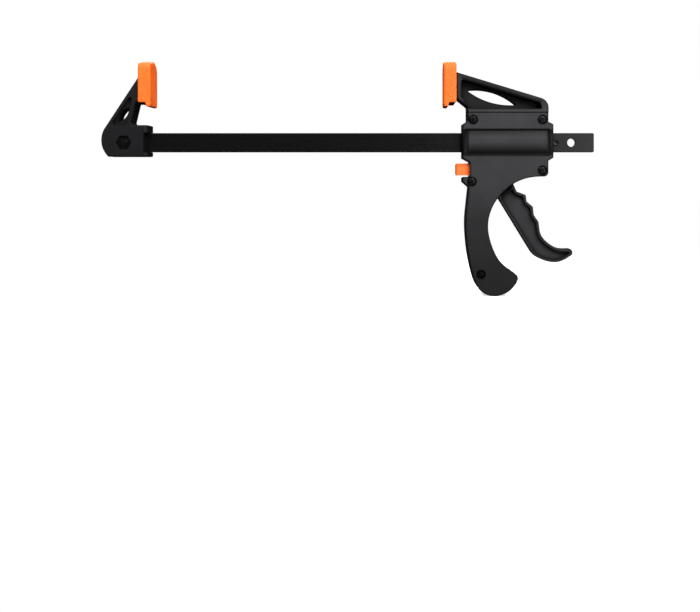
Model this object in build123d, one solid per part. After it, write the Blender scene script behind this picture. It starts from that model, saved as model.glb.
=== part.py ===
"""Quick release bar clamp: a fixed jaw bolted to a flat steel bar, and a pistol-grip head that
slides on the bar, pumps itself along with a trigger and holds by a tilted brake plate.

Frame, in millimetres: origin at the centre of the fixed pad's clamping face, +X along the bar
from the fixed jaw to the bar's tail, +Z towards the tips of the jaws, -Y the side that the shell
screws are driven from. Side-view sketches are drawn as (x, height above the bar's centre line).
"""

import os
from math import cos, radians, sin, tan

from build123d import *

# ---- driving dimensions -------------------------------------------------------------------------
PAD_CENTRE_HEIGHT = 34.8      # centre of a pad's face above the bar's centre line
BAR_Z = -PAD_CENTRE_HEIGHT
JAW_OPENING = 180.6           # between the two pads, head at the end stop

BAR_HEIGHT, BAR_THICK = 12.0, 4.0
BAR_START, BAR_END = -26.5, 274.5
SLIDE_GAP = 0.2               # bar to any opening it slides through
JAW_SCREW_X = -17.0
TAIL_HOLE_X = 260.5
BAR_HOLE_R = 2.6
STOP_X, STOP_R, STOP_LENGTH = 250.6, 2.0, 7.0

BLOCK_HALF = 7.5              # half thickness of the fixed jaw
BLOCK_TOP, BLOCK_BOTTOM = 10.7, -8.85
BLOCK_END, WINDOW_START = -1.8, -4.7   # the block's rounded end, and the bar's window in it
PAD_WIDTH, PAD_DEPTH, PAD_HALF_HEIGHT = 18.75, 8.0, 15.85
PAD_FACE, PAD_SIDE = 3.0, 1.85
PAD_ARCH = 7.5                # rise of the pad's arched top
PAD_SKIRT = 2.9               # the face reaches this far below the side walls

HEAD_HALF = 8.75              # half thickness of the head
FACE_HALF = 8.25              # the front panel below the jaw lies this little back
CAVITY_HALF = 6.0
WALL = 2.2
WEB_HALF = 3.6                # half thickness of the jaw's sunk web
EDGE_ROUND = 0.8
SEAM_BEVEL = 0.25             # on both shells along the parting line
JAW_FOOT = 18.4               # height of the jaw frame's lower edge
HEAD_LEFT, HEAD_RIGHT = 195.3, 245.3
COLLAR_LEFT, COLLAR_RIGHT = 192.4, 248.4
SPRING_SEAT_X = 243.0

SCREW_SPOTS = [(198.8, 14.0), (241.6, 14.0), (241.6, -17.4), (198.0, -24.3)]
GRIP_SCREW_SPOT = (203.7, -81.6)
SCREW_HEAD_R, SCREW_SHANK_R, SCREW_LENGTH = 2.5, 1.25, 13.0
BOSS_R = 3.3

TRIGGER_PIVOT = (217.5, -19.5)
TRIGGER_HALF = 3.75
TRIGGER_RIM, RIB_WIDTH = 1.9, 1.6
PIN_R, PIN_LENGTH = 2.0, 14.0
NOSE_ARM, NOSE_R, NOSE_LEAN = 8.75, 2.0, 10.0

PLATE_THICK, PLATE_WIDTH = 2.5, 11.6
DRIVE_PLATE_X = 218.05        # left face of the first drive plate
DRIVE_TOP, DRIVE_BOTTOM = 9.6, -11.4
BRAKE_PIVOT = (204.6, 9.0)
BRAKE_TILT = 4.7
BRAKE_BOTTOM = -19.2
BRAKE_SLOT = 12.5

BUTTON_LEFT, BUTTON_HEIGHT, BUTTON_MID = 188.4, 7.4, -16.7
BUTTON_HALF = 4.5
KNOB_R, KNOB_BASE, KNOB_WING = 6.85, 3.5, 10.5
KNOB_SEAT_R, KNOB_SEAT_DEPTH = 7.7, 1.2
NUT_FLATS, NUT_THICK = 8.0, 4.0
JAW_SCREW_R = 2.5


# ---- helpers ------------------------------------------------------------------------------------
def side_plane(y):
    """Plane of a side-view sketch at this Y, facing -Y, with the bar's centre line as its X axis."""
    return Plane(origin=(0, y, BAR_Z), x_dir=(1, 0, 0), z_dir=(0, -1, 0))


def plate(profile, y_front, y_back):
    """A side-view profile extruded from y_front to y_back."""
    return extrude(side_plane(y_back) * profile, amount=y_back - y_front)


def rectangle(x_low, x_high, h_low, h_high):
    """A side-view rectangle by its limits."""
    centre = Pos((x_low + x_high) / 2, (h_low + h_high) / 2)
    return centre * Rectangle(x_high - x_low, h_high - h_low)


def block(x_low, x_high, y_low, y_high, h_low, h_high):
    """A box by its limits, with heights from the bar's centre line."""
    centre = Pos((x_low + x_high) / 2, (y_low + y_high) / 2, BAR_Z + (h_low + h_high) / 2)
    return centre * Box(x_high - x_low, y_high - y_low, h_high - h_low)


def peg(spot, radius, y_low, y_high):
    """A cylinder across the clamp at a side-view spot."""
    return plate(Pos(*spot) * Circle(radius), y_low, y_high)


def bar_passage(x_low, x_high, gap=SLIDE_GAP):
    """The space that the bar needs to slide through a wall."""
    half_y, half_h = BAR_THICK / 2 + gap, BAR_HEIGHT / 2 + gap
    return block(x_low, x_high, -half_y, half_y, -half_h, half_h)


def coil(x_low, x_high, height, radius, wire, turns):
    """A round-wire compression spring along X, whose wire stays between x_low and x_high."""
    length = x_high - x_low - 2 * wire
    path = Helix(pitch=length / turns, height=length, radius=radius)
    section = (path ^ 0) * Circle(wire)
    spring = sweep(section, path=path, is_frenet=True)
    return Pos(x_low + wire, 0, BAR_Z + height) * Rot(0, 90, 0) * spring


def grown(face, distance):
    """A face grown outwards (or inwards, below zero), its curved edges redrawn as splines."""
    wire = offset(face, amount=distance, kind=Kind.ARC).faces()[0].outer_wire()
    edges = []
    for edge in wire.edges():
        if edge.geom_type in (GeomType.LINE, GeomType.CIRCLE):
            edges.append(edge)
        else:
            points = [edge @ (step / 12) for step in range(13)]
            edges.append(Spline(*points, tangents=[edge % 0, edge % 1]))
    return make_face(edges)


# ---- bar and stop -------------------------------------------------------------------------------
def make_bar():
    half_y, half_h = BAR_THICK / 2, BAR_HEIGHT / 2
    bar = block(BAR_START, BAR_END, -half_y, half_y, -half_h, half_h)
    bar = chamfer(bar.edges().filter_by(Axis.Y), 0.6)
    bar = fillet(bar.edges().filter_by(Axis.X), 0.4)
    for x in (JAW_SCREW_X, TAIL_HOLE_X):
        bar -= peg((x, 0), BAR_HOLE_R, -BAR_THICK, BAR_THICK)
    return bar - peg((STOP_X, 0), STOP_R, -BAR_THICK, BAR_THICK)


def make_stop_pin():
    """A slotted spring pin pressed through the bar, proud of both faces."""
    half = STOP_LENGTH / 2
    pin = peg((STOP_X, 0), STOP_R, -half, half)
    pin = chamfer(pin.edges().filter_by(GeomType.CIRCLE), 0.4)
    pin -= peg((STOP_X, 0), STOP_R - 0.8, -half, half)
    return pin - block(STOP_X - 0.4, STOP_X + 0.4, -half, half, -STOP_R, 0)


# ---- pads ---------------------------------------------------------------------------------------
def pad_shape(inset, depth, skirt):
    """A pad's arched outline, seen along the bar, drawn in by inset and extruded by depth in +X."""
    half = PAD_WIDTH / 2 - inset
    top, bottom = PAD_HALF_HEIGHT - inset, -PAD_HALF_HEIGHT + skirt
    shoulder = top - PAD_ARCH
    edge = Polyline((-half, shoulder), (-half, bottom), (half, bottom), (half, shoulder))
    arch = Spline((half, shoulder), (half * 0.62, top - 1.6), (0, top), (-half * 0.62, top - 1.6),
                  (-half, shoulder), tangents=[(0, 1), (0, -1)])
    return extrude(Plane.YZ * make_face(edge + arch), amount=depth)


def make_pad():
    """A slip-on rubber cap: face at x = 0, pushed onto the tongue from the tip, open below."""
    face = pad_shape(0, PAD_FACE, 0)
    cap = pad_shape(0, PAD_DEPTH, PAD_SKIRT)
    pad = face + cap
    pad = fillet(pad.faces().sort_by(Axis.X)[0].edges(), 0.9)
    pad = fillet(pad.faces().sort_by(Axis.X)[-1].edges(), 0.7)
    pocket = Pos(PAD_FACE, 0, 0) * pad_shape(PAD_SIDE, PAD_DEPTH - PAD_FACE - 1.2, -5)
    pad -= pocket
    arm_way = Pos(PAD_FACE, 0, 0) * Box(PAD_DEPTH, 2 * (PAD_WIDTH / 2 - PAD_SIDE), 32,
                                        align=(Align.MIN, Align.CENTER, Align.MAX))
    pad -= Pos(0, 0, PAD_HALF_HEIGHT - 7.4) * arm_way
    notch = Pos(PAD_FACE + 1.6, 0, -PAD_HALF_HEIGHT + PAD_SKIRT) * Box(2.6, 2 * PAD_WIDTH, 3.2)
    return pad - notch


def tongue_shape():
    """The jaw's end that fills a pad, from behind its face, and the neck that carries it."""
    tongue = Pos(PAD_FACE, 0, 0) * pad_shape(PAD_SIDE, PAD_DEPTH - PAD_FACE - 1.2, PAD_SKIRT + 0.6)
    neck = Pos(PAD_FACE, 0, 5.7) * Box(PAD_DEPTH - PAD_FACE + 0.3, 2 * BLOCK_HALF, 16.0,
                                       align=(Align.MIN, Align.CENTER, Align.MAX))
    return tongue + neck


# ---- fixed jaw ----------------------------------------------------------------------------------
def fixed_jaw_profile():
    arm_back_top, arm_back_foot = (-8.0, 40.5), (-29.0, 8.6)
    edge = Polyline(arm_back_foot, arm_back_top, (-6.8, 24.3), (-9.8, 24.1), (-12.6, 12.5),
                    (-11.8, BLOCK_TOP), (WINDOW_START, BLOCK_TOP),
                    (WINDOW_START, BLOCK_BOTTOM), (-26.6, BLOCK_BOTTOM))
    heel = ThreePointArc((-26.6, BLOCK_BOTTOM), (-30.9, 0.4), arm_back_foot)
    return make_face(edge + heel)


def block_end():
    """The block's end towards the moving jaw, rounded on all four sides, with the bar's window."""
    start = WINDOW_START - 4
    end = block(start, BLOCK_END, -BLOCK_HALF, BLOCK_HALF, BLOCK_BOTTOM, BLOCK_TOP)
    upright = end.edges().filter_by(Axis.Z).group_by(Axis.X)[-1]
    end = fillet(upright, BLOCK_END - WINDOW_START)
    end = fillet(end.faces().sort_by(Axis.Z)[-1].edges(), 0.9)
    end = fillet(end.faces().sort_by(Axis.Z)[0].edges(), 0.9)
    half_h = BAR_HEIGHT / 2 + 0.05
    return end - block(WINDOW_START, 0, -BLOCK_HALF, BLOCK_HALF, -half_h, half_h)


def fixed_web_profile():
    """The sunk panel of the fixed jaw's arm."""
    corners = Polyline((-12.2, 30.0), (-24.6, 11.2), (-15.6, 11.2), (-12.2, 25.0), close=True)
    face = make_face(corners)
    return fillet(face.vertices(), 0.9)


def lens(tip_a, tip_b, bulge_a, bulge_b):
    """A pointed oval between two tips."""
    upper = ThreePointArc(tip_a, bulge_a, tip_b)
    lower = ThreePointArc(tip_b, bulge_b, tip_a)
    return make_face(upper + lower)


def make_fixed_jaw():
    jaw = plate(fixed_jaw_profile(), -BLOCK_HALF, BLOCK_HALF)
    jaw = fillet(jaw.faces().filter_by(Axis.Y).edges(), 0.9) + block_end()
    web = fixed_web_profile()
    for side in (-1, 1):
        low, high = sorted((side * BLOCK_HALF, side * 3.0))
        jaw -= plate(web, low, high)
    jaw -= plate(lens((-14.0, 21.6), (-20.6, 12.6), (-18.9, 18.4), (-15.9, 15.8)), -4, 4)
    tongue = tongue_shape()
    tongue = mirror(tongue, Plane.YZ)
    jaw += tongue
    half_y = BAR_THICK / 2 + 0.05
    jaw -= block(-40, 0, -half_y, half_y, -BAR_HEIGHT / 2 - 0.05, BAR_HEIGHT / 2 + 0.05)
    jaw -= block(-40, -9.0, -half_y, half_y, -12, 0)
    screw_spot = (JAW_SCREW_X, 0)
    jaw -= peg(screw_spot, BAR_HOLE_R, -BLOCK_HALF, BLOCK_HALF)
    jaw -= peg(screw_spot, KNOB_SEAT_R, BLOCK_HALF - KNOB_SEAT_DEPTH, BLOCK_HALF)
    nut_pocket = Pos(*screw_spot) * RegularPolygon(NUT_FLATS / 2 + 0.05, 6, major_radius=False)
    jaw -= plate(nut_pocket, -BLOCK_HALF, -BLOCK_HALF + NUT_THICK + 0.6)
    return jaw


def make_jaw_nut():
    flats = Pos(JAW_SCREW_X, 0) * RegularPolygon(NUT_FLATS / 2, 6, major_radius=False)
    back = -BLOCK_HALF + NUT_THICK + 0.6
    nut = plate(flats, back - NUT_THICK, back)
    cone = peg((JAW_SCREW_X, 0), NUT_FLATS / 2 + 0.25, back - NUT_THICK, back)
    nut &= chamfer(cone.edges(), 0.4)
    return nut - peg((JAW_SCREW_X, 0), JAW_SCREW_R + 0.05, -BLOCK_HALF, 0)


def make_jaw_screw():
    """The knob's steel stud: through both cheeks and the bar into the nut."""
    front = -BLOCK_HALF + 0.4
    stud = peg((JAW_SCREW_X, 0), JAW_SCREW_R, front, BLOCK_HALF + 2.0)
    return chamfer(stud.faces().sort_by(Axis.Y)[0].edges(), 0.5)


def make_jaw_knob():
    """A moulded wing knob on a round foot."""
    foot_y = BLOCK_HALF - KNOB_SEAT_DEPTH
    spot = (JAW_SCREW_X, 0)
    foot = peg(spot, KNOB_R, foot_y, foot_y + KNOB_BASE)
    foot = fillet(foot.faces().sort_by(Axis.Y)[-1].edges(), 1.2)
    root, tip = foot_y + KNOB_BASE - 0.8, foot_y + KNOB_BASE + KNOB_WING
    side = Polyline((-6.3, root), (-4.6, tip - 4.0), (-5.0, tip - 0.6), (0, tip),
                    (5.0, tip - 0.6), (4.6, tip - 4.0), (6.3, root), close=True)
    wing = extrude(make_face(side), amount=1.75, both=True)
    wing = fillet(wing.edges().filter_by(Axis.Z), 1.0)
    wing = fillet(wing.edges().group_by(Axis.Y)[-1], 0.7)
    hub = peg(spot, 3.6, foot_y + KNOB_BASE - 0.8, foot_y + KNOB_BASE + 3.0)
    turned = Pos(JAW_SCREW_X, 0, BAR_Z) * Rot(0, 35, 0) * wing
    knob = foot + hub + turned
    return knob - peg(spot, JAW_SCREW_R, foot_y, BLOCK_HALF + 2.0)


# ---- head shells --------------------------------------------------------------------------------
def hollow_curve():
    """The curve under the body and down the inside of the grip, from the rear corner."""
    return Spline((242.5, -21.1), (228.4, -23.3), (214.3, -34.3), (208.1, -53.2), (213.5, -70.6),
                  (225.0, -81.2), tangents=[(-1, 0), (0.82, -0.57)])


def head_profile():
    """Side view of the whole head, jaw and grip, without the tongue under the pad."""
    jaw_root = JAW_OPENING + PAD_DEPTH + 0.1
    top = Polyline((jaw_root, 43.2), (HEAD_RIGHT, 26.0), (HEAD_RIGHT, 12.8),
                   (COLLAR_RIGHT, 11.1), (COLLAR_RIGHT, -9.5), (HEAD_RIGHT, -11.4),
                   (HEAD_RIGHT, -18.3))
    rear_corner = TangentArc((HEAD_RIGHT, -18.3), (242.5, -21.1), tangent=(0, -1))
    grip_tip = TangentArc((225.0, -81.2), (226.2, -85.5), tangent=hollow_curve() % 1)
    grip_end = TangentArc((226.2, -85.5), (212.7, -95.0), tangent=grip_tip % 1)
    grip_heel = TangentArc((212.7, -95.0), (202.4, -90.6), tangent=grip_end % 1)
    grip_back = Spline((202.4, -90.6), (198.4, -81.5), (196.0, -70.6), (194.2, -51.6),
                       (196.2, -27.8), tangents=[grip_heel % 1, (0.1, 0.99)])
    grip = grip_tip + grip_end + grip_heel + grip_back
    front = Polyline((196.2, -27.8), (192.4, -24.4), (192.4, -21.4),
                     (196.8, -21.2), (196.8, -12.2), (COLLAR_LEFT, -9.8), (COLLAR_LEFT, 11.3),
                     (HEAD_LEFT, 12.9), (HEAD_LEFT, 21.9), (jaw_root, 27.4), (jaw_root, 43.2))
    face = make_face(top + rear_corner + hollow_curve() + grip + front)

    def corner(x, h):
        return face.vertices().sort_by_distance((x, h))[0]

    face = fillet(corner(HEAD_RIGHT, 26.0), 6.5)
    for spot in ((192.4, -24.4), (192.4, -21.4)):
        face = fillet(corner(*spot), 1.2)
    return face


def jaw_web_profile():
    """The sunk panel of the moving jaw, inside its frame."""
    face = make_face(Polyline((191.6, 38.8), (240.2, 24.1), (241.2, 20.6), (197.0, 20.6),
                              (191.6, 27.6), close=True))
    return fillet(face.vertices(), 1.0)


def jaw_lens_profile():
    return lens((195.2, 32.4), (225.8, 23.3), (213.0, 30.7), (208.0, 25.5))


def body_cavity_profile():
    """Everything below the jaw, drawn in by the wall thickness."""
    below_jaw = head_profile() & rectangle(150, 300, -120, JAW_FOOT + 1.6)
    return grown(below_jaw, -WALL)


def grip_mouth_profile():
    """The stretch of the grip's inner wall that is left open for the trigger."""
    hollow = make_face(hollow_curve() + Line((225.0, -81.2), (242.5, -21.1)))
    return grown(hollow, WALL + 0.4) & rectangle(200, 227.0, -78.0, -23.0)


def outer_half():
    """Half of the head from the parting plane to its outer face, with a rounded outer edge."""
    solid = plate(head_profile(), -HEAD_HALF, 0)
    solid = fillet(solid.faces().sort_by(Axis.Y)[0].edges(), EDGE_ROUND)
    return chamfer(solid.faces().sort_by(Axis.Y)[-1].edges(), SEAM_BEVEL)


def stepped_front_half():
    """The front half, whose panel below the jaw frame lies a little lower than the frame."""
    profile = head_profile()
    low = plate(profile, -FACE_HALF, 0)
    low = fillet(low.faces().sort_by(Axis.Y)[0].edges(), EDGE_ROUND)
    low = chamfer(low.faces().sort_by(Axis.Y)[-1].edges(), SEAM_BEVEL)
    jaw = plate(profile & rectangle(150, 300, JAW_FOOT, 60), -HEAD_HALF, -WEB_HALF)
    jaw = fillet(jaw.faces().sort_by(Axis.Y)[0].edges(), EDGE_ROUND / 2)
    return low + jaw


def hollowed(solid):
    """Cuts what both shell halves share, on the -Y half, and adds their inner walls."""
    solid -= plate(jaw_web_profile(), -HEAD_HALF, -WEB_HALF)
    solid -= plate(jaw_lens_profile(), -HEAD_HALF, 0)
    cavity = plate(body_cavity_profile(), -CAVITY_HALF, 0)
    solid -= cavity
    solid -= plate(grip_mouth_profile(), -CAVITY_HALF, 0)
    depth = CAVITY_HALF + 0.1
    for spot in SCREW_SPOTS + [GRIP_SCREW_SPOT]:
        solid += peg(spot, BOSS_R, -depth, 0)
    solid += block(SPRING_SEAT_X, HEAD_RIGHT + 1, -depth, 0, -9.0, 9.0)
    seat_left, seat_right = BRAKE_PIVOT[0] - PLATE_THICK / 2 - 0.25, BRAKE_PIVOT[0] + PLATE_THICK / 2 + 0.3
    solid += block(seat_left - 1.8, seat_left, -depth, 0, 7.6, 12.0)
    solid += block(seat_right, seat_right + 1.6, -depth, 0, 8.6, 17.9)
    solid += block(210.8, 212.4, -depth, 0, -15.8, -9.4)
    solid += peg(TRIGGER_PIVOT, 4.2, -depth, -TRIGGER_HALF - 0.15)
    solid -= peg(TRIGGER_PIVOT, PIN_R, -PIN_LENGTH / 2, 0)
    solid -= bar_passage(COLLAR_LEFT - 1, COLLAR_RIGHT + 1)
    pocket = Rot(0, 90, 0) * Cylinder(7.6, SPRING_SEAT_X - 217.0)
    solid -= Pos((SPRING_SEAT_X + 217.0) / 2, 0, BAR_Z) * pocket
    button_way = block(190, 200, -BUTTON_HALF - 0.15, 0, BUTTON_MID - 3.85, BUTTON_MID + 3.85)
    return solid - button_way


def front_panel(solid):
    """Sinks a frame round the spring housing and raises its long cushion-shaped cover."""
    floor, crest = -7.35, -HEAD_HALF
    solid -= plate(rectangle(193.5, 245.9, -8.0, 8.0), -HEAD_HALF, floor)
    half_height = 7.3
    arc = ThreePointArc((floor, -half_height), (crest, 0), (floor, half_height))
    section = make_face(arc + Polyline((floor, half_height), (floor + 0.9, half_height),
                                       (floor + 0.9, -half_height), (floor, -half_height)))
    barrel = extrude(Plane.YZ.offset(195.6) * section, amount=244.9 - 195.6)
    slope = Polyline((196.0, floor + 1), (196.4, floor), (198.4, crest), (242.9, crest),
                     (244.7, floor), (245.0, floor + 1), close=True)
    wedge = extrude(make_face(slope), amount=half_height + 1, both=True)
    cover = Pos(0, 0, BAR_Z) * barrel & Pos(0, 0, BAR_Z) * wedge
    return solid + cover


def make_head_shell_front():
    solid = hollowed(front_panel(stepped_front_half()))
    for spot in SCREW_SPOTS:
        solid -= peg(spot, SCREW_SHANK_R + 0.25, -HEAD_HALF, 0)
        solid -= peg(spot, SCREW_HEAD_R + 0.15, -HEAD_HALF, -FACE_HALF + 2.2)
    solid -= peg(GRIP_SCREW_SPOT, SCREW_SHANK_R + 0.25, -HEAD_HALF, 0)
    solid -= peg(GRIP_SCREW_SPOT, SCREW_HEAD_R + 0.15, -HEAD_HALF, -FACE_HALF + 4.2)
    return solid + head_tongue(-1)


def make_head_shell_back():
    solid = hollowed(outer_half())
    solid = mirror(solid, Plane.XZ)
    for spot in SCREW_SPOTS + [GRIP_SCREW_SPOT]:
        solid -= peg(spot, SCREW_SHANK_R, 0, 7.6)
    return solid + head_tongue(1)


def head_tongue(side):
    """Half of the moving jaw's tongue, on the front (-1) or the back (+1)."""
    tongue = Pos(JAW_OPENING, 0, 0) * tongue_shape()
    low, high = sorted((0, side * 20))
    half = tongue & block(170, 200, low, high, 0, 70)
    return half


# ---- what the head holds ------------------------------------------------------------------------
def make_shell_screw(spot, head_depth):
    """A pan-head screw with a cross recess, its head at the bottom of its counterbore."""
    top = -FACE_HALF + head_depth
    head = peg(spot, SCREW_HEAD_R, top - 1.7, top)
    head = fillet(head.faces().sort_by(Axis.Y)[0].edges(), 0.6)
    shank = peg(spot, SCREW_SHANK_R, top, top + SCREW_LENGTH - 1.7)
    arms = Pos(*spot) * (Rectangle(2.6, 0.6) + Rectangle(0.6, 2.6))
    return head + shank - plate(arms, top - 1.7, top - 0.7)


def make_shell_screws():
    return Compound([make_shell_screw(spot, 2.2) for spot in SCREW_SPOTS])


def make_grip_screw():
    return make_shell_screw(GRIP_SCREW_SPOT, 4.2) & block(190, 210, -20, 7.5, -90, -70)


def trigger_profile():
    back_top, back_foot = (210.8, -28.2), (234.3, -66.6)
    ledges = Polyline((222.2, -21.2), (226.2, -30.4), (231.9, -32.5), (232.4, -36.6),
                      (236.3, -39.8), (236.9, -45.0), (239.8, -49.2), (240.4, -53.6))
    hook_top = Spline((240.4, -53.6), (244.8, -61.6), (251.0, -65.4), (259.0, -66.0),
                      tangents=[(0.1, -1), (1, 0.05)])
    hook_tip = ThreePointArc((259.0, -66.0), (260.9, -68.2), (259.2, -70.7))
    hook_foot = Spline((259.2, -70.7), (249.5, -74.4), (240.2, -72.0), back_foot,
                       tangents=[(-0.8, -0.6), (-0.52, 0.85)])
    back = Polyline(back_foot, back_top, (212.8, -19.0), (222.2, -21.2))
    face = make_face(ledges + hook_top + hook_tip + hook_foot + back)
    for x, h in ((226.2, -30.4), (231.9, -32.5), (232.4, -36.6), (236.3, -39.8), (236.9, -45.0),
                 (239.8, -49.2)):
        face = fillet(face.vertices().sort_by_distance((x, h))[0], 1.3)
    return face


def trigger_panel():
    """The sunk panel inside the trigger's rim, crossed by a rib that runs along the head's edge."""
    panel = grown(trigger_profile() & rectangle(200, 270, -80, -24.6), -TRIGGER_RIM)
    (left, left_h), (right, right_h) = (206.3, -40.9), (232.3, -20.6)
    rib = make_face(Polyline((left, left_h), (right, right_h), (right, right_h - RIB_WIDTH),
                             (left, left_h - RIB_WIDTH), close=True))
    return panel - rib


def make_trigger():
    blade = plate(trigger_profile(), -TRIGGER_HALF, TRIGGER_HALF)
    blade = fillet(blade.faces().filter_by(Axis.Y).edges(), 0.7)
    for side in (-1, 1):
        low, high = sorted((side * TRIGGER_HALF, side * 1.6))
        blade -= plate(trigger_panel(), low, high)
    lean = radians(NOSE_LEAN)
    pivot_x, pivot_h = TRIGGER_PIVOT
    nose = (pivot_x - NOSE_ARM * sin(lean), pivot_h + NOSE_ARM * cos(lean))
    neck = Polyline((nose[0] - 1.9, nose[1]), (nose[0] + 1.7, nose[1]), (pivot_x + 3.2, pivot_h),
                    (pivot_x - 4.6, pivot_h), close=True)
    blade += plate(make_face(neck), -TRIGGER_HALF, TRIGGER_HALF)
    blade += peg(nose, NOSE_R, -TRIGGER_HALF, TRIGGER_HALF)
    blade += peg(TRIGGER_PIVOT, 5.0, -TRIGGER_HALF, TRIGGER_HALF)
    return blade - peg(TRIGGER_PIVOT, PIN_R + 0.05, -TRIGGER_HALF, TRIGGER_HALF)


def make_trigger_pin():
    return peg(TRIGGER_PIVOT, PIN_R, -PIN_LENGTH / 2, PIN_LENGTH / 2)


def make_drive_plate(number):
    left = DRIVE_PLATE_X + number * PLATE_THICK
    half = PLATE_WIDTH / 2
    steel = block(left, left + PLATE_THICK, -half, half, DRIVE_BOTTOM, DRIVE_TOP)
    steel = chamfer(steel.edges().filter_by(Axis.X), 1.0)
    return steel - bar_passage(left - 1, left + PLATE_THICK + 1, 0.25)


def make_brake_plate():
    """Drawn upright with a round top edge to rock on, then leaned towards the fixed jaw."""
    pivot_x, pivot_h = BRAKE_PIVOT
    half = PLATE_WIDTH / 2
    left, right = pivot_x - PLATE_THICK / 2, pivot_x + PLATE_THICK / 2
    steel = block(left, right, -half, half, BRAKE_BOTTOM, pivot_h)
    steel = chamfer(steel.edges().filter_by(Axis.X).group_by(Axis.Z)[0], 1.0)
    steel += peg(BRAKE_PIVOT, PLATE_THICK / 2, -half, half)
    half_slot = BAR_THICK / 2 + SLIDE_GAP
    steel -= block(left - 1, right + 1, -half_slot, half_slot, -BRAKE_SLOT / 2, BRAKE_SLOT / 2)
    hinge = Pos(pivot_x, 0, BAR_Z + pivot_h)
    return hinge * Rot(0, BRAKE_TILT, 0) * hinge.inverse() * steel


def make_release_button():
    low, high = BUTTON_MID - BUTTON_HEIGHT / 2, BUTTON_MID + BUTTON_HEIGHT / 2
    cap = block(BUTTON_LEFT, 200.6, -BUTTON_HALF, BUTTON_HALF, low, high)
    cap = fillet(cap.faces().sort_by(Axis.X)[0].edges(), 1.2)
    flange = block(199.2, 200.6, -BUTTON_HALF - 1.0, BUTTON_HALF + 1.0, low - 0.6, high + 0.6)
    contact = BRAKE_PIVOT[0] - (BRAKE_PIVOT[1] - BUTTON_MID) * tan(radians(BRAKE_TILT)) \
        - PLATE_THICK / 2 / cos(radians(BRAKE_TILT))
    nub = block(200.6, contact - 0.08, -3.0, 3.0, BUTTON_MID - 0.6, BUTTON_MID + 0.6)
    return cap + flange + nub


def make_drive_spring():
    start = DRIVE_PLATE_X + 2 * PLATE_THICK + 0.1
    return coil(start, SPRING_SEAT_X - 0.05, 0, 6.92, 0.45, 6)


def make_brake_spring():
    return coil(206.1 - 1.6, 210.75, -12.6, 2.1, 0.35, 4)


# ---- parts --------------------------------------------------------------------------------------
def make_parts():
    pad = make_pad()
    return {
        "bar": make_bar(),
        "stop_pin": make_stop_pin(),
        "fixed_jaw": make_fixed_jaw(),
        "fixed_jaw_pad": mirror(pad, Plane.YZ),
        "jaw_nut": make_jaw_nut(),
        "jaw_screw": make_jaw_screw(),
        "jaw_knob": make_jaw_knob(),
        "head_shell_front": make_head_shell_front(),
        "head_shell_back": make_head_shell_back(),
        "moving_jaw_pad": Pos(JAW_OPENING, 0, 0) * pad,
        "shell_screws": make_shell_screws(),
        "grip_screw": make_grip_screw(),
        "trigger": make_trigger(),
        "trigger_pin": make_trigger_pin(),
        "drive_plate_left": make_drive_plate(0),
        "drive_plate_right": make_drive_plate(1),
        "drive_spring": make_drive_spring(),
        "brake_plate": make_brake_plate(),
        "brake_spring": make_brake_spring(),
        "release_button": make_release_button(),
    }


os.makedirs("parts", exist_ok=True)
for name, solid in make_parts().items():
    export_step(solid, f"parts/{name}.step")
    print(name, round(solid.volume, 1))
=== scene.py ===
"""Looks of the quick release bar clamp: black moulded head and jaw on a blacked steel bar, with
orange rubber pads, wing knob and release button.

The frame is in metres: origin at the centre of the fixed pad's face, +X along the bar to its tail,
+Z towards the jaw tips, -Y the side with the screws. Places on the clamp are written in
millimetres, as a side-view spot: X, and the height above the bar's middle.
"""
import math

import bmesh
import bpy
from mathutils import Matrix, Vector


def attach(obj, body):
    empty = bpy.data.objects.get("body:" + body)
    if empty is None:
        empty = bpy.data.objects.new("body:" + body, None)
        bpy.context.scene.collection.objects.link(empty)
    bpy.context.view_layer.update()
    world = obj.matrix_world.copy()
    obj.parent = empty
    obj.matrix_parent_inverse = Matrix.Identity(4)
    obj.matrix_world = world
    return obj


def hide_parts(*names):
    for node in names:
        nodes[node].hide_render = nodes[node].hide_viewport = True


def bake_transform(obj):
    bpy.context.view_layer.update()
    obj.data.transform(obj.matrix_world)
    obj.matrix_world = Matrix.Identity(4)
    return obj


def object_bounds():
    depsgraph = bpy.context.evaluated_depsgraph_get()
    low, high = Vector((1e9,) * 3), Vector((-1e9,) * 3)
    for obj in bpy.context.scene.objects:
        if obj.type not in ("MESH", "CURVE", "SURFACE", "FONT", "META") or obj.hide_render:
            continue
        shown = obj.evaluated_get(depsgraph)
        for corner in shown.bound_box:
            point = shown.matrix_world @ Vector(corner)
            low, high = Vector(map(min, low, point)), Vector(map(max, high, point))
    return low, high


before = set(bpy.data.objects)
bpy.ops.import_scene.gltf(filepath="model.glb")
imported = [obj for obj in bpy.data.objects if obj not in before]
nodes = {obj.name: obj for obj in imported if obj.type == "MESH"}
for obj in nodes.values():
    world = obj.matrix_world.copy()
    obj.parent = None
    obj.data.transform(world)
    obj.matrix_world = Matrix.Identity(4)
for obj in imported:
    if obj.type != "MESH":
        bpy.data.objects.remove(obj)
cad_box = [list(corner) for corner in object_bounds()]

MM = 0.001
TOUCHING = 0.00001            # points within this many metres of each other are one
BAR_Z = -34.8                 # the bar's middle, below the pads' centre
JAW_OPENING = 180.6           # between the pads' faces
JAW_SCREW_X, KNOB_SEAT = -17.0, 6.35          # the knob's axis, and the Y that its foot sits on
STOP_X, STOP_HALF = 250.6, 3.5                # the stop pin's axis and half its length
COVER_X, COVER_HALF = 220.4, 8.0              # the spring cover's middle, half its frame's height
RIM_Y = 8.0                   # the head's outer faces and jaw rim lie beyond it, the web within

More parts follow.
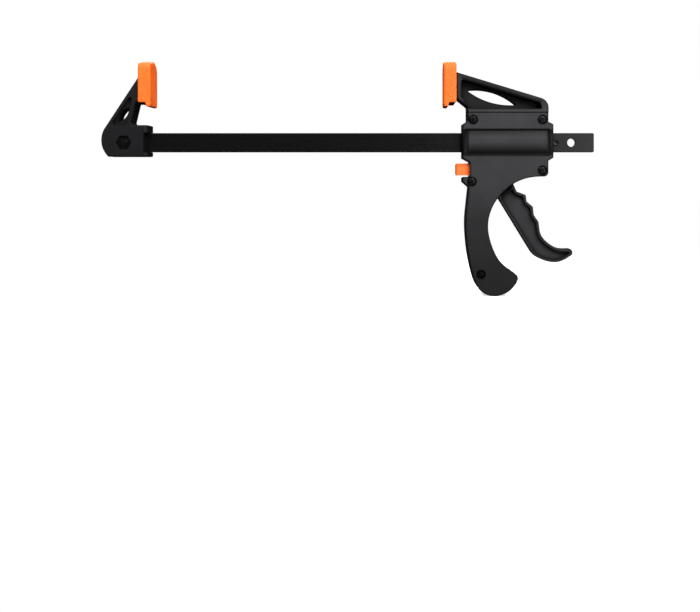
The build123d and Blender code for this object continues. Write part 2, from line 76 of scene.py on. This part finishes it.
# Screws: the shell screws' and the grip screw's spots, and the Y of their heads' crowns
SCREW_SPOTS = [(198.8, 14.0), (241.6, 14.0), (241.6, -17.4), (198.0, -24.3)]
GRIP_SCREW_SPOT = (203.7, -81.6)
SCREW_TOP, GRIP_SCREW_TOP = -7.75, -5.75
CROWN_RADIUS, HEAD_RADIUS, HEAD_DEPTH = 1.62, 2.5, 1.7
SHANK_RADIUS, SHANK_LENGTH, POINT_LENGTH = 1.15, 11.3, 1.6
CROSS_REACH, CROSS_HALF, CROSS_DEPTH, CROSS_TAPER = 1.42, 0.34, 1.15, 0.5
THREAD_START, THREAD_END = 5.0, 11.5          # from the crown
THREAD_RADIUS, THREAD_DEPTH, THREAD_WIDTH, PITCH = 1.5, 0.4, 0.4, 1.1
TURNED_STEPS, THREAD_STEPS = 48, 20           # flats in a turn

# Softened mouldings: the grain that their skin is drawn at, and how many times it is softened
SKIN_VOXEL, PAD_SOFTENING, KNOB_SOFTENING = 0.26, 55, 8

# Springs: node, body of the moving end, X of the end that stays in the head and of the other
SPRINGS = (("drive_spring", "drive", 242.9, 223.3), ("brake_spring", "brake", 210.7, 205.0))

# Moulded ends under the pads, Z as in the nodes and as made here
TONGUE_Z, TONGUE_END = (-12.6, -12.1), -11.0
NECK_Z, NECK_END = (-10.35, -10.25), -9.2
TONGUE_BACK, NECK_BACK = 7.2, 8.4             # how far behind the pad's face they reach
PANEL_Y, PANEL_LEVEL = 3.0, 5.6               # the fixed jaw's sunk panel, in the node and here
PANEL_X, PANEL_LOWEST = (-25, -11), -24.5


# ---- finishes -----------------------------------------------------------------------------------
class Finish:
    """A procedural material on object coordinates, built up one layer at a time."""

    def __init__(self, name, colour, roughness, metallic=0.0):
        self.material = bpy.data.materials.new(name)
        self.material.use_nodes = True
        self.tree = self.material.node_tree
        self.shader = self.tree.nodes["Principled BSDF"]
        self.set("Base Color", (*colour, 1.0))
        self.set("Roughness", roughness)
        self.set("Metallic", metallic)
        self.source = self.tree.nodes.new("ShaderNodeTexCoord")
        self.coordinates = self.source.outputs["Object"]
        self.bumps = None

    def feed(self, socket, value):
        """Links a pattern to a socket, or sets the socket to a plain value."""
        if isinstance(value, bpy.types.NodeSocket):
            self.tree.links.new(value, socket)
        else:
            socket.default_value = value

    def set(self, name, value):
        self.feed(self.shader.inputs[name], value)

    def add(self, kind, **inputs):
        node = self.tree.nodes.new(kind)
        for name, value in inputs.items():
            self.feed(node.inputs[name], value)
        return node

    def stretched(self, scale):
        """Object coordinates scaled per axis, so that a pattern runs in long streaks."""
        return self.add("ShaderNodeMapping", Vector=self.coordinates, Scale=scale).outputs["Vector"]

    def noise(self, scale, detail=3.0, roughness=0.5, vector=None):
        return self.add("ShaderNodeTexNoise", Vector=vector or self.coordinates, Scale=scale,
                        Detail=detail, Roughness=roughness).outputs["Fac"]

    def spread(self, value, low, high, to_low, to_high):
        """Remaps a pattern from its own range to a useful one, clamped."""
        limits = {"From Min": low, "From Max": high, "To Min": to_low, "To Max": to_high}
        return self.add("ShaderNodeMapRange", Value=value, **limits).outputs["Result"]

    def blend(self, share, *colours):
        """From the first colour at share 0 to the second at 1, each a pattern or three numbers."""
        node = self.tree.nodes.new("ShaderNodeMix")
        node.data_type = "RGBA"
        self.feed(node.inputs[0], share)
        for socket, colour in zip((node.inputs[6], node.inputs[7]), colours):
            plain = not isinstance(colour, bpy.types.NodeSocket)
            self.feed(socket, (*colour, 1.0) if plain else colour)
        return node.outputs[2]

    def openness(self, reach, closed, clear, inside=False):
        """0 in the piece's own inner corners, or along its outer edges if inside, 1 elsewhere."""
        node = self.add("ShaderNodeAmbientOcclusion", Distance=reach)
        node.only_local = True
        node.inside = inside
        node.samples = 8
        return self.spread(node.outputs["AO"], closed, clear, 0, 1)

    def calc(self, operation, first, second=0.0):
        """One step of arithmetic between patterns or plain numbers."""
        node = self.tree.nodes.new("ShaderNodeMath")
        node.operation = operation
        self.feed(node.inputs[0], first)
        self.feed(node.inputs[1], second)
        return node.outputs[0]

    def product(self, first, *others):
        for other in others:
            first = self.calc("MULTIPLY", first, other)
        return first

    def axis(self, letter, output="Object"):
        """One object coordinate, in metres, or with "Normal" one part of the face's direction."""
        return self.add("ShaderNodeSeparateXYZ", Vector=self.source.outputs[output]).outputs[letter]

    def relief(self, height, depth, strength=1.0):
        """Adds a bump layer of this depth in metres to the ones that are there."""
        bump = self.add("ShaderNodeBump", Height=height, Distance=depth, Strength=strength)
        if self.bumps is not None:
            self.feed(bump.inputs["Normal"], self.bumps)
        self.bumps = bump.outputs["Normal"]
        self.set("Normal", self.bumps)


def scaled(colour, share):
    return tuple(channel * share for channel in colour)


def moulded_black(name, tint, gloss, shine, depth=0.12, shade=None):
    """Black nylon with a fine spark-eroded grain, faint flow marks and handling smudges. Painted
    shade takes its tint down to this depth where walls meet and along edges, half as far on its
    narrow sides, and further by the shade, if one is given."""
    finish = Finish(name, tint, gloss)
    finish.set("Specular IOR Level", shine)
    smudges = finish.spread(finish.noise(45, 4, 0.6), 0.4, 0.7, 0, 1)
    worn = finish.blend(smudges, tint, scaled(tint, 1.25))
    # painted shade: darker along rounded edges, in inner corners and on the narrow sides
    off_edge = finish.openness(1.1 * MM, 0.62, 1.0, inside=True)
    off_corner = finish.openness(4 * MM, 0.3, 0.9)
    facing = finish.calc("ABSOLUTE", finish.axis("Y", "Normal"))
    painted_light_share = finish.product(off_corner, off_edge, finish.spread(facing, 0.4, 0.96, 0.5, 1))
    if shade:
        painted_light_share = finish.product(painted_light_share, shade(finish))
    finish.set("Base Color", finish.blend(painted_light_share, scaled(tint, depth), worn))
    flow = finish.noise(30, 5, 0.55, finish.stretched((0.35, 1, 1)))
    edge_dulling = finish.product(finish.calc("SUBTRACT", 1, off_edge), 0.3)
    finish.set("Roughness", finish.calc(
        "ADD", edge_dulling, finish.spread(flow, 0.3, 0.7, gloss - 0.06, gloss + 0.08)))
    finish.relief(finish.noise(2600, 2, 0.6), 0.04 * MM)
    finish.relief(finish.noise(90, 3, 0.5), 0.12 * MM, 0.6)
    return finish.material


def head_shade(finish):
    """Painted shade on the head, as a share of its tint, 1 being none: on its jaw's rim and web,
    darker down its grip, and on the spring cover away from its crest. Each ramp is given by where
    it starts and ends, in millimetres, and by its value there."""
    def ramp(place, start, end, at_start, at_end):
        return finish.spread(place, start * MM, end * MM, at_start, at_end)

    height = finish.calc("SUBTRACT", finish.axis("Z"), BAR_Z * MM)
    off_middle = finish.calc("ABSOLUTE", finish.calc("SUBTRACT", finish.axis("X"), COVER_X * MM))
    on_rim = finish.calc("GREATER_THAN", finish.calc("ABSOLUTE", finish.axis("Y")), RIM_Y * MM)
    rim = finish.product(ramp(height, 20, 24, 1, 0.75), on_rim)
    web = finish.product(ramp(height, 19, 21, 1, 0.28), finish.calc("SUBTRACT", 1, on_rim))
    grip = finish.product(ramp(height, -48, -20, 0.52, 1), ramp(height, -80, -45, 0.58, 1))
    cover = finish.product(ramp(height, -5.8, 0, 0.03, 1), ramp(height, 3, 7.3, 1, 0.2),
                           ramp(off_middle, 23.9, 24.5, 1, 0.3))
    above_or_below = finish.calc("GREATER_THAN", finish.calc("ABSOLUTE", height), COVER_HALF * MM)
    at_the_back = finish.calc("GREATER_THAN", finish.axis("Y"), 0)
    not_cover = finish.calc("MAXIMUM", above_or_below, at_the_back)
    return finish.product(finish.calc("ADD", rim, web), grip,
                          finish.calc("MAXIMUM", cover, not_cover))


def rubber_orange():
    """Soft orange rubber: slightly translucent, silky, with dusty mottling."""
    finish = Finish("orange_rubber", (0.93, 0.13, 0.014), 0.55)
    mottling = finish.spread(finish.noise(120, 4, 0.55), 0.35, 0.7, 0, 1)
    finish.set("Base Color", finish.blend(mottling, (0.92, 0.125, 0.012), (0.94, 0.145, 0.018)))
    finish.set("Roughness", finish.spread(finish.noise(60), 0.3, 0.7, 0.42, 0.58))
    finish.set("Specular IOR Level", 0.18)
    finish.set("Subsurface Weight", 0.4)
    finish.set("Subsurface Radius", (0.004, 0.0014, 0.0005))
    finish.set("Subsurface Scale", 0.5)
    finish.relief(finish.noise(1800, 2, 0.5), 0.02 * MM)
    finish.relief(finish.noise(140, 2, 0.5), 0.12 * MM, 0.3)
    return finish.material


def plastic_orange():
    """Hard orange plastic of the knob and the button, a little glossier than the pads."""
    finish = Finish("orange_plastic", (0.93, 0.13, 0.012), 0.4)
    streaks = finish.noise(70, 4, 0.5, finish.stretched((1, 1, 0.4)))
    finish.set("Base Color", finish.blend(finish.spread(streaks, 0.35, 0.7, 0, 1),
                                          (0.93, 0.125, 0.01), (0.95, 0.15, 0.02)))
    finish.set("Roughness", finish.spread(finish.noise(90), 0.3, 0.7, 0.32, 0.46))
    finish.set("Subsurface Weight", 0.08)
    finish.set("Subsurface Radius", (0.003, 0.001, 0.0004))
    finish.relief(finish.noise(1500, 2, 0.5), 0.03 * MM)
    return finish.material


def blacked_steel():
    """The bar's black coating over drawn steel: fine streaks along it and bright rubbed specks."""
    coating, bare = (0.002, 0.002, 0.0023), (0.02, 0.02, 0.021)
    finish = Finish("blacked_bar_steel", coating, 0.26)
    finish.set("Specular IOR Level", 0.26)
    streaks = finish.noise(900, 3, 0.6, finish.stretched((0.02, 1, 1)))
    rubbed = finish.noise(260, 5, 0.65, finish.stretched((0.06, 1, 1)))
    finish.set("Base Color", finish.blend(finish.spread(rubbed, 0.66, 0.8, 0, 1), coating, bare))
    finish.set("Roughness", finish.spread(streaks, 0.3, 0.7, 0.25, 0.29))
    finish.relief(streaks, 0.006 * MM)
    finish.relief(finish.noise(70, 3, 0.5), 0.1 * MM, 0.5)
    return finish.material


def steel(name, colour, gloss, grain):
    """Bare or oiled steel with fine scratches."""
    finish = Finish(name, colour, gloss, 0.9)
    scratches = finish.noise(1600, 3, 0.6, finish.stretched(grain))
    stains = finish.spread(finish.noise(300, 4, 0.6), 0.45, 0.75, 0, 1)
    finish.set("Base Color", finish.blend(stains, colour, scaled(colour, 0.6)))
    finish.set("Roughness", finish.spread(scratches, 0.3, 0.7, gloss - 0.08, gloss + 0.1))
    finish.relief(scratches, 0.02 * MM)
    return finish.material


# the shell's tint carries painted shade from head_shade on its rim, web, grip and spring cover
black_shell = moulded_black("black_shell_plastic", (0.0258, 0.0252, 0.027), 0.5, 0.05,
                            shade=head_shade)
# the fixed jaw is the shell's black nylon with a far darker tint: painted shade for the weaker
# light at the clamp's left end
black_jaw_painted_shade = moulded_black("black_jaw_plastic_painted_shade", (0.0045, 0.0045, 0.0053), 0.5, 0.12, depth=0.4)
black_trigger = moulded_black("black_trigger_plastic", (0.0215, 0.0215, 0.023), 0.45, 0.05)
orange_rubber = rubber_orange()
orange_plastic = plastic_orange()
bar_steel = blacked_steel()
screw_steel = steel("blacked_screw_steel", (0.012, 0.012, 0.013), 0.3, (1, 1, 1))
pin_steel = steel("blacked_pin_steel", (0.02, 0.02, 0.021), 0.3, (1, 0.05, 1))
plate_steel = steel("plate_steel", (0.32, 0.31, 0.3), 0.36, (1, 1, 0.05))
spring_steel = steel("spring_steel", (0.3, 0.3, 0.31), 0.3, (1, 1, 1))

node_finishes = {
    "bar": bar_steel, "stop_pin": pin_steel,
    "fixed_jaw": black_jaw_painted_shade, "fixed_jaw_pad": orange_rubber,
    "jaw_nut": screw_steel, "jaw_screw": pin_steel, "jaw_knob": orange_plastic,
    "head_shell_front": black_shell, "head_shell_back": black_shell,
    "moving_jaw_pad": orange_rubber, "shell_screws": screw_steel, "grip_screw": screw_steel,
    "trigger": black_trigger, "trigger_pin": pin_steel,
    "drive_plate_left": plate_steel, "drive_plate_right": plate_steel,
    "drive_spring": spring_steel, "brake_plate": plate_steel, "brake_spring": spring_steel,
    "release_button": orange_plastic,
}
for node_name, node_finish in node_finishes.items():
    nodes[node_name].data.materials.clear()
    nodes[node_name].data.materials.append(node_finish)


# ---- pieces made here ---------------------------------------------------------------------------
def at(spot, y):
    """A point in metres from a side-view spot and a Y, both in millimetres."""
    return Vector((spot[0] * MM, y * MM, (BAR_Z + spot[1]) * MM))


def new_piece(name, shape, finish, body, *stands_for, sharp=40):
    """Turns a bmesh into a shaded piece that stands for CAD nodes and rides on a body, if any."""
    mesh = bpy.data.meshes.new(name)
    shape.to_mesh(mesh)
    shape.free()
    mesh.shade_smooth()
    mesh.set_sharp_from_angle(angle=math.radians(sharp))
    mesh.materials.append(finish)
    piece = bpy.data.objects.new(name, mesh)
    bpy.context.scene.collection.objects.link(piece)
    if body:
        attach(piece, body)
    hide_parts(*stands_for)
    return piece


def turned(shape, outline, spot):
    """Spins an outline of (radius, y) points about an axis along Y through a side-view spot."""
    corners = [shape.verts.new(at(spot, y) + Vector((radius * MM, 0, 0))) for radius, y in outline]
    edges = [shape.edges.new(pair) for pair in zip(corners, corners[1:])]
    bmesh.ops.spin(shape, geom=corners + edges, cent=at(spot, 0), axis=(0, 1, 0),
                   angle=2 * math.pi, steps=TURNED_STEPS, use_merge=True)
    bmesh.ops.remove_doubles(shape, verts=shape.verts, dist=TOUCHING)


def cross_recess(shape, spot, top):
    """Fills the open crown round a cross turned by an eighth, and sinks the cross with a taper."""
    rim = [edge for edge in shape.edges
           if edge.is_boundary and abs(edge.verts[0].co.y - top * MM) < TOUCHING
           and (edge.verts[0].co - at(spot, top)).length < (CROWN_RADIUS + 0.1) * MM]
    quarter = [(CROSS_HALF, CROSS_HALF), (CROSS_HALF, CROSS_REACH), (-CROSS_HALF, CROSS_REACH)]
    corners = []
    for turn in range(4):
        spin = Matrix.Rotation(math.pi / 4 + turn * math.pi / 2, 3, "Y")
        corners += [shape.verts.new(at(spot, top) + spin @ Vector((x * MM, 0, z * MM)))
                    for x, z in quarter]
    outline = [shape.edges.new(pair) for pair in zip(corners, corners[1:] + corners[:1])]
    bmesh.ops.triangle_fill(shape, use_beauty=True, edges=rim + outline)
    walls = bmesh.ops.extrude_edge_only(shape, edges=outline)["geom"]
    floor = [item for item in walls if isinstance(item, bmesh.types.BMVert)]
    bmesh.ops.scale(shape, verts=floor, vec=(CROSS_TAPER, 1, CROSS_TAPER),
                    space=Matrix.Translation(-at(spot, top)))
    bmesh.ops.translate(shape, verts=floor, vec=(0, CROSS_DEPTH * MM, 0))
    bmesh.ops.edgeloop_fill(shape, edges=[edge for edge in shape.edges if edge.is_boundary])


def thread(shape, spot, start, end):
    """A screw thread's ridge wound round a shank."""
    root = THREAD_RADIUS - THREAD_DEPTH
    ridge = [shape.verts.new(at(spot, y) + Vector((reach * MM, 0, 0)))
             for reach, y in ((root, start), (THREAD_RADIUS, start + THREAD_WIDTH / 2),
                              (root, start + THREAD_WIDTH))]
    edges = [shape.edges.new(pair) for pair in zip(ridge, ridge[1:])]
    edges.append(shape.edges.new((ridge[2], ridge[0])))
    turns = (end - start - THREAD_WIDTH) / PITCH
    steps = int(turns * THREAD_STEPS)
    closed = shape.faces.new(ridge)
    bmesh.ops.spin(shape, geom=[closed] + edges + ridge, cent=at(spot, 0), axis=(0, 1, 0),
                   dvec=(0, turns * PITCH * MM / steps, 0), angle=2 * math.pi * turns, steps=steps)


def make_screws():
    """Domed screws with a cross recess and a cut thread."""
    for node, spots, top in (("shell_screws", SCREW_SPOTS, SCREW_TOP),
                             ("grip_screw", [GRIP_SCREW_SPOT], GRIP_SCREW_TOP)):
        foot = top + HEAD_DEPTH
        outline = [(CROWN_RADIUS, top), (2.02, top + 0.1), (2.33, top + 0.34), (2.48, top + 0.7),
                   (HEAD_RADIUS, top + 1.1), (HEAD_RADIUS, foot - 0.1), (2.4, foot),
                   (SHANK_RADIUS, foot), (SHANK_RADIUS, foot + SHANK_LENGTH - POINT_LENGTH),
                   (0.0, foot + SHANK_LENGTH)]
        shape = bmesh.new()
        for spot in spots:
            turned(shape, outline, spot)
            cross_recess(shape, spot, top)
            thread(shape, spot, top + THREAD_START, top + THREAD_END)
        bmesh.ops.recalc_face_normals(shape, faces=shape.faces)
        new_piece(node + "_cross", shape, screw_steel, "head", node)


def softened(shape, name, passes):
    """A closed moulding from rough overlapping bodies: one skin, its edges softened."""
    mesh = bpy.data.meshes.new(name)
    shape.to_mesh(mesh)
    shape.free()
    rough = bpy.data.objects.new(name, mesh)
    bpy.context.scene.collection.objects.link(rough)
    skin = rough.modifiers.new("skin", "REMESH")
    skin.mode, skin.voxel_size = "VOXEL", SKIN_VOXEL * MM
    soften = rough.modifiers.new("soften", "SMOOTH")
    soften.factor, soften.iterations = 0.5, passes
    done = bpy.data.meshes.new_from_object(rough.evaluated_get(
        bpy.context.evaluated_depsgraph_get()))
    bpy.data.objects.remove(rough)
    result = bmesh.new()
    result.from_mesh(done)
    bpy.data.meshes.remove(done)
    return result


def merged_copy(node):
    """A bmesh of a CAD node with its loose triangles joined."""
    shape = bmesh.new()
    shape.from_mesh(nodes[node].data)
    bmesh.ops.remove_doubles(shape, verts=shape.verts, dist=0.000002)
    return shape


def make_pads():
    """Soft rubber caps, rounded all over, their side walls ending short of the face. Everything
    below the kept height is drawn up in proportion, the lowest point to the cap's end."""
    lowest, kept, cap_end, wall_end, notch_top = -15.85, 8.0, -12.8, -12.95, -11.35
    for node, body in (("fixed_jaw_pad", "bar"), ("moving_jaw_pad", "head")):
        shape = merged_copy(node)
        for vert in shape.verts:
            height = vert.co.z / MM
            if abs(height - notch_top) < 0.05:
                height = wall_end
            if height < kept:
                vert.co.z = (kept - (kept - height) * (kept - cap_end) / (kept - lowest)) * MM
        soft = softened(shape, node + "_soft", PAD_SOFTENING)
        new_piece(node + "_rubber", soft, orange_rubber, body, node, sharp=180)


def make_jaw_ends():
    """The black mouldings with the tongues under the pads ending a little below the rubber's side
    walls, and with the fixed jaw's sunk panel only slightly below its faces."""
    for node, body, finish in (("head_shell_front", "head", black_shell),
                               ("head_shell_back", "head", black_shell),
                               ("fixed_jaw", "bar", black_jaw_painted_shade)):
        shape = merged_copy(node)
        for vert in shape.verts:
            x, y, z = (value / MM for value in vert.co)
            if TONGUE_Z[0] < z < TONGUE_Z[1] and x < JAW_OPENING + TONGUE_BACK:
                vert.co.z = TONGUE_END * MM
            elif NECK_Z[0] < z < NECK_Z[1] and x < JAW_OPENING + NECK_BACK:
                vert.co.z = NECK_END * MM
            if (node == "fixed_jaw" and abs(abs(y) - PANEL_Y) < 0.02
                    and PANEL_X[0] < x < PANEL_X[1] and z > PANEL_LOWEST):
                vert.co.y = math.copysign(PANEL_LEVEL, y) * MM
        bmesh.ops.dissolve_limit(shape, angle_limit=math.radians(0.5), verts=shape.verts,
                                 edges=shape.edges)
        piece = new_piece(node + "_moulding", shape, finish, body, node, sharp=35)
        level = piece.modifiers.new("level_faces", "WEIGHTED_NORMAL")
        level.weight, level.keep_sharp = 100, True


def make_knob():
    """Wing knob: a dished round foot, a hub and a tall fin with hollow flanks, in one moulding."""
    spot, seat = (JAW_SCREW_X, 0.0), KNOB_SEAT
    root, crest = seat + 2.4, seat + 13.9
    fin_half_width, fin_thickness, fin_lean, crest_drop = 6.3, 3.3, 35, 1.1
    shape = bmesh.new()
    bmesh.ops.create_cube(shape, size=1.0)
    bmesh.ops.subdivide_edges(shape, edges=shape.edges, cuts=7, use_grid_fill=True)
    lean = Matrix.Rotation(math.radians(fin_lean), 3, "Y")
    middle = at(spot, root)
    for vert in shape.verts:
        along, rise = 2 * vert.co.x, vert.co.y + 0.5      # -1 to 1 across the fin, 0 to 1 up it
        waist = 1.0 - 0.3 * max(0.0, math.sin(math.pi * min(rise * 1.1, 1.0))) ** 1.5
        flank = 1.0 - 0.3 * rise + 0.25 * along * along * (1 - rise)
        up = (crest - root) * rise - crest_drop * along * along * rise
        vert.co = middle + lean @ Vector((fin_half_width * along * waist * MM, up * MM,
                                          fin_thickness * vert.co.z * flank * MM))
    turned(shape, [(0.0, seat), (6.75, seat), (6.9, seat + 0.5), (6.9, seat + 2.6),
                   (6.3, seat + 3.3), (4.2, seat + 3.8), (3.9, seat + 5.2), (3.2, seat + 6.4),
                   (0.0, seat + 6.6)], spot)
    bmesh.ops.recalc_face_normals(shape, faces=shape.faces)
    soft = softened(shape, "knob_soft", KNOB_SOFTENING)
    new_piece("jaw_knob_wing", soft, orange_plastic, "knob", "jaw_knob", sharp=180)


def make_stop_pin():
    """A rolled spring pin, its dark core sunk a little below its bevelled rims."""
    half_outline = [(0.0, 0.9), (0.75, 0.8), (0.95, 0.15), (1.25, 0.0), (1.65, 0.0), (1.98, 0.4)]
    outline = [(radius, -STOP_HALF + depth) for radius, depth in half_outline]
    outline += [(radius, STOP_HALF - depth) for radius, depth in reversed(half_outline)]
    shape = bmesh.new()
    turned(shape, outline, (STOP_X, 0.0))
    bmesh.ops.recalc_face_normals(shape, faces=shape.faces)
    new_piece("stop_pin_rolled", shape, pin_steel, "bar", "stop_pin")


def make_springs():
    """Compression springs: smooth-shaded copies of the CAD coils that stay where the CAD put them.
    """
    for node, body, fixed_end, moving_end in SPRINGS:
        piece = new_piece(node + "_coil", merged_copy(node), spring_steel, None, node, sharp=50)
        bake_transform(piece)


make_screws()
make_springs()
make_pads()
make_jaw_ends()
make_knob()
make_stop_pin()


# ---- floor, light and camera --------------------------------------------------------------------
def pale_floor():
    """A round white floor under the grip's end that fades out into the background."""
    radius, fade_start, fade_end = 1.6, 0.12, 0.45
    mesh = bpy.data.meshes.new("floor")
    disc = bmesh.new()
    bmesh.ops.create_circle(disc, cap_ends=True, radius=radius, segments=96)
    centre_x = (cad_box[0][0] + cad_box[1][0]) / 2
    bmesh.ops.translate(disc, verts=disc.verts, vec=(centre_x, 0, cad_box[0][2]))
    disc.to_mesh(mesh)
    disc.free()
    floor = bpy.data.objects.new("floor", mesh)
    bpy.context.scene.collection.objects.link(floor)
    paper = Finish("pale_floor_paper", (0.75, 0.75, 0.75), 0.9)
    paper.set("Specular IOR Level", 0.0)
    paper.set("Emission Color", (1, 1, 1, 1))
    paper.set("Emission Strength", 0.6)
    centred = paper.add("ShaderNodeMapping", Vector=paper.coordinates,
                        Location=(-centre_x, 0, -cad_box[0][2])).outputs["Vector"]
    reach = paper.add("ShaderNodeVectorMath", Vector=centred)
    reach.operation = "LENGTH"
    paper.set("Alpha", paper.spread(reach.outputs["Value"], fade_start, fade_end, 1, 0))
    mesh.materials.append(paper.material)
    floor.visible_diffuse = False
    floor.visible_glossy = False


def softbox(name, place, target, size, power, spread=180):
    """A rectangular soft light at a place, turned to a target, its beam this many degrees wide."""
    light = bpy.data.lights.new(name, "AREA")
    light.shape = "RECTANGLE"
    light.size, light.size_y = size
    light.energy, light.spread = power, math.radians(spread)
    lamp = bpy.data.objects.new(name, light)
    lamp.location = place
    lamp.rotation_euler = (Vector(target) - Vector(place)).to_track_quat("-Z", "Y").to_euler()
    bpy.context.scene.collection.objects.link(lamp)


def studio():
    """A white backdrop, with a dimmer grey surround for the light that falls on the clamp, and
    soft lights: three before it, cards for its tail end and the fixed pad, and one behind it."""
    world = bpy.data.worlds.new("white_studio")
    world.use_nodes = True
    tree = world.node_tree
    surround = tree.nodes["Background"]
    surround.inputs["Color"].default_value = (0.9, 0.92, 0.95, 1)
    surround.inputs["Strength"].default_value = 0.035
    backdrop = tree.nodes.new("ShaderNodeBackground")
    backdrop.inputs["Color"].default_value = (1, 1, 1, 1)
    seen = tree.nodes.new("ShaderNodeLightPath").outputs["Is Camera Ray"]
    mix = tree.nodes.new("ShaderNodeMixShader")
    tree.links.new(seen, mix.inputs["Fac"])
    tree.links.new(surround.outputs[0], mix.inputs[1])
    tree.links.new(backdrop.outputs[0], mix.inputs[2])
    tree.links.new(mix.outputs[0], tree.nodes["World Output"].inputs["Surface"])
    bpy.context.scene.world = world
    bpy.context.scene.view_settings.view_transform = "Standard"
    middle = (0.12, 0, -0.05)
    softbox("high_key", (0.75, -0.85, 0.75), middle, (0.8, 0.5), 24)
    softbox("high_fill", (-0.35, -0.9, 0.85), middle, (0.8, 0.5), 19)
    softbox("low_fill", (0.1, -0.9, -0.95), middle, (1.0, 0.4), 3.2)
    softbox("right_card", (0.78, -1.0, -0.02), (0.3, 0, -0.04), (0.8, 0.7), 4.8)
    softbox("pad_card", (0.35, -0.45, 0.15), (0, 0, 0), (0.15, 0.15), 0.009, 30)
    softbox("rear_softbox", (-0.2, 1.0, 1.1), middle, (1.3, 0.9), 17)


def side_camera():
    """Square on to the screw side, level with the trigger's pivot."""
    camera = bpy.data.cameras.new("side_camera")
    camera.lens, camera.sensor_width = 50, 36
    camera.shift_x, camera.shift_y = -0.0629, -0.1829
    camera.clip_start, camera.clip_end = 0.01, 20
    eye = bpy.data.objects.new("side_camera", camera)
    eye.location = (0.15, -0.6076, -0.0568)
    eye.rotation_euler = (math.radians(90), 0, 0)
    bpy.context.scene.collection.objects.link(eye)
    bpy.context.scene.camera = eye


pale_floor()
studio()
side_camera()
